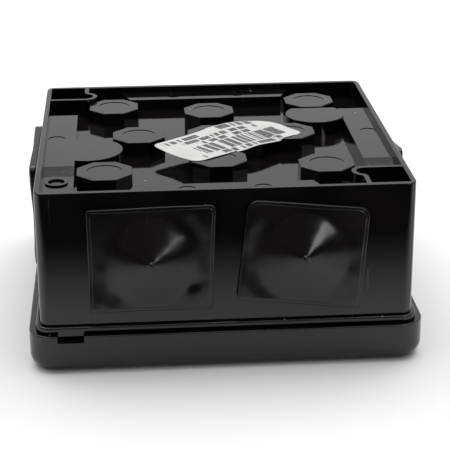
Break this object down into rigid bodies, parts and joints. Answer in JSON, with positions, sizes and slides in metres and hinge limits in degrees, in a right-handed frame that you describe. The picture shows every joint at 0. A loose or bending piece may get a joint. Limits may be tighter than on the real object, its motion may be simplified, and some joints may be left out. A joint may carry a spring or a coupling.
{
  "type": "junction box",
  "caption": "Square surface-mount cable junction box, upside down on its skirted lid, with soft membrane plugs in its cable entries and a ribbed, pillared underside.",
  "frame": {"origin": "centre of the lid's outer face, the face that the box stands on here", "axes": "+Z from the lid's face to the mounting face, -Y towards the wall with the two visible cable entries, +X to the right seen from there"},
  "size_m": [0.085, 0.089, 0.04],
  "materials": {
    "box_plastic": "glossy moulded black polystyrene",
    "lid_plastic": "glossy moulded black, slightly satin on the skirt",
    "plug_soft_plastic": "soft black PVC, glossy and slightly wavy",
    "screw_plastic": "moulded black nylon",
    "label_film": "white self-adhesive film with grey print"
  },
  "bodies": {
    "lid": {"lid": "lid_plastic"},
    "base_shell": {"base_shell": "box_plastic", "product_label": "label_film"},
    "lid_screw_front_right": {"lid_screw_front_right": "screw_plastic"},
    "lid_screw_back_left": {"lid_screw_back_left": "screw_plastic"},
    "entry_plug_front_left": {"entry_plug_front_left": "plug_soft_plastic"},
    "entry_plug_front_right": {"entry_plug_front_right": "plug_soft_plastic"},
    "entry_plug_right": {"entry_plug_right": "plug_soft_plastic"},
    "entry_plug_back_right": {"entry_plug_back_right": "plug_soft_plastic"},
    "entry_plug_back_left": {"entry_plug_back_left": "plug_soft_plastic"},
    "entry_plug_left": {"entry_plug_left": "plug_soft_plastic"}
  },
  "joints": [
    {"name": "base_lift", "type": "slide", "parent": "lid", "child": "base_shell", "axis": [0, 0, 1], "range_m": [0, 0.05]},
    {"name": "screw_turn_front_right", "type": "hinge", "parent": "lid", "child": "lid_screw_front_right", "pos_m": [0.0333, -0.0333, 0], "axis": [0, 0, -1], "range_deg": [0, 1440]},
    {"name": "screw_turn_back_left", "type": "hinge", "parent": "lid", "child": "lid_screw_back_left", "pos_m": [-0.0333, 0.0333, 0], "axis": [0, 0, -1], "range_deg": [0, 1440]},
    {"name": "plug_pull_front_left", "type": "slide", "parent": "base_shell", "child": "entry_plug_front_left", "axis": [0, -1, 0], "range_m": [0, 0.012]},
    {"name": "plug_pull_front_right", "type": "slide", "parent": "base_shell", "child": "entry_plug_front_right", "axis": [0, -1, 0], "range_m": [0, 0.012]},
    {"name": "plug_pull_right", "type": "slide", "parent": "base_shell", "child": "entry_plug_right", "axis": [1, 0, 0], "range_m": [0, 0.012]},
    {"name": "plug_pull_back_right", "type": "slide", "parent": "base_shell", "child": "entry_plug_back_right", "axis": [0, 1, 0], "range_m": [0, 0.012]},
    {"name": "plug_pull_back_left", "type": "slide", "parent": "base_shell", "child": "entry_plug_back_left", "axis": [0, 1, 0], "range_m": [0, 0.012]},
    {"name": "plug_pull_left", "type": "slide", "parent": "base_shell", "child": "entry_plug_left", "axis": [-1, 0, 0], "range_m": [0, 0.012]}
  ]
}
